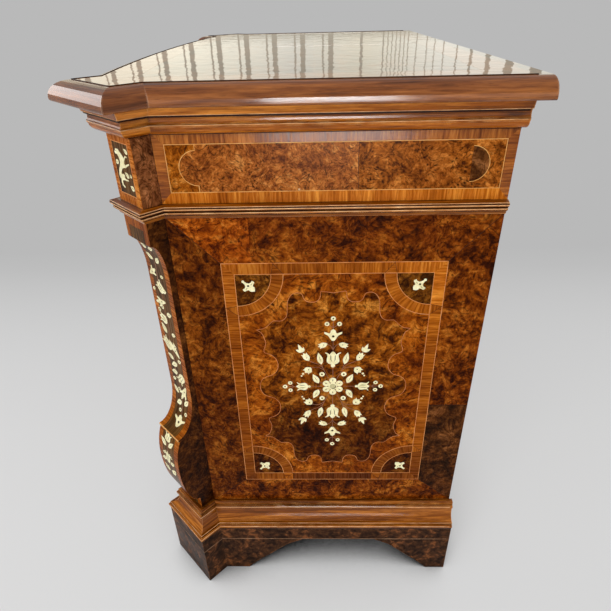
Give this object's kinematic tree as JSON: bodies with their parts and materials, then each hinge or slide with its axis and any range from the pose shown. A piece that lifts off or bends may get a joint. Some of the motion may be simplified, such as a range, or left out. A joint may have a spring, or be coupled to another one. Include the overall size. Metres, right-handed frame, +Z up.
{
  "type": "commode",
  "caption": "Bow-fronted walnut commode with canted scroll pilasters, moulded top and base, bracket feet and sliding drawers with turned knobs.",
  "frame": {"origin": "on the floor under the middle of the overall box", "axes": "+Z up, the front and its drawers face -Y, +X along the width to the right seen from the front"},
  "size_m": [1.0642, 0.564, 0.88],
  "materials": {
    "burr_walnut": "polished burr veneer with crossbanding and bone inlay",
    "polished_walnut": "glossy wax polish",
    "dark_walnut": "worn satin polish",
    "poplar": "unfinished, planed",
    "brass": "aged, lightly polished"
  },
  "bodies": {
    "carcass": {"top_board": "burr_walnut", "top_nosing": "polished_walnut", "cornice_moulding": "polished_walnut", "waist_moulding": "polished_walnut", "base_moulding": "polished_walnut", "plinth_frame": "dark_walnut", "foot_front_left": "dark_walnut", "foot_front_right": "dark_walnut", "foot_rear_left": "dark_walnut", "foot_rear_right": "dark_walnut", "side_panel_left": "burr_walnut", "side_panel_right": "burr_walnut", "corner_post_left": "polished_walnut", "corner_post_right": "polished_walnut", "frieze_block_left": "burr_walnut", "frieze_block_right": "burr_walnut", "scroll_pilaster_left": "polished_walnut", "scroll_pilaster_right": "polished_walnut", "back_panel": "poplar", "bottom_board": "poplar", "base_rail": "polished_walnut", "middle_drawer_rail": "polished_walnut", "upper_drawer_rail": "polished_walnut", "waist_rail": "polished_walnut", "cornice_rail": "polished_walnut", "middle_drawer_runner_left": "poplar", "middle_drawer_runner_right": "poplar", "upper_drawer_runner_left": "poplar", "upper_drawer_runner_right": "poplar", "frieze_drawer_runner_left": "poplar", "frieze_drawer_runner_right": "poplar"},
    "frieze_drawer": {"frieze_drawer_front": "burr_walnut", "frieze_drawer_side_left": "poplar", "frieze_drawer_side_right": "poplar", "frieze_drawer_back": "poplar", "frieze_drawer_bottom": "poplar", "frieze_drawer_knob_left": "brass", "frieze_drawer_knob_right": "brass"},
    "upper_drawer": {"upper_drawer_front": "burr_walnut", "upper_drawer_side_left": "poplar", "upper_drawer_side_right": "poplar", "upper_drawer_back": "poplar", "upper_drawer_bottom": "poplar", "upper_drawer_knob_left": "brass", "upper_drawer_knob_right": "brass"},
    "middle_drawer": {"middle_drawer_front": "burr_walnut", "middle_drawer_side_left": "poplar", "middle_drawer_side_right": "poplar", "middle_drawer_back": "poplar", "middle_drawer_bottom": "poplar", "middle_drawer_knob_left": "brass", "middle_drawer_knob_right": "brass"},
    "lower_drawer": {"lower_drawer_front": "burr_walnut", "lower_drawer_side_left": "poplar", "lower_drawer_side_right": "poplar", "lower_drawer_back": "poplar", "lower_drawer_bottom": "poplar", "lower_drawer_knob_left": "brass", "lower_drawer_knob_right": "brass"}
  },
  "joints": [
    {"name": "frieze_drawer_slide", "type": "slide", "parent": "carcass", "child": "frieze_drawer", "axis": [0, -1, 0], "range_m": [0, 0.32]},
    {"name": "upper_drawer_slide", "type": "slide", "parent": "carcass", "child": "upper_drawer", "axis": [0, -1, 0], "range_m": [0, 0.32]},
    {"name": "middle_drawer_slide", "type": "slide", "parent": "carcass", "child": "middle_drawer", "axis": [0, -1, 0], "range_m": [0, 0.32]},
    {"name": "lower_drawer_slide", "type": "slide", "parent": "carcass", "child": "lower_drawer", "axis": [0, -1, 0], "range_m": [0, 0.32]}
  ]
}
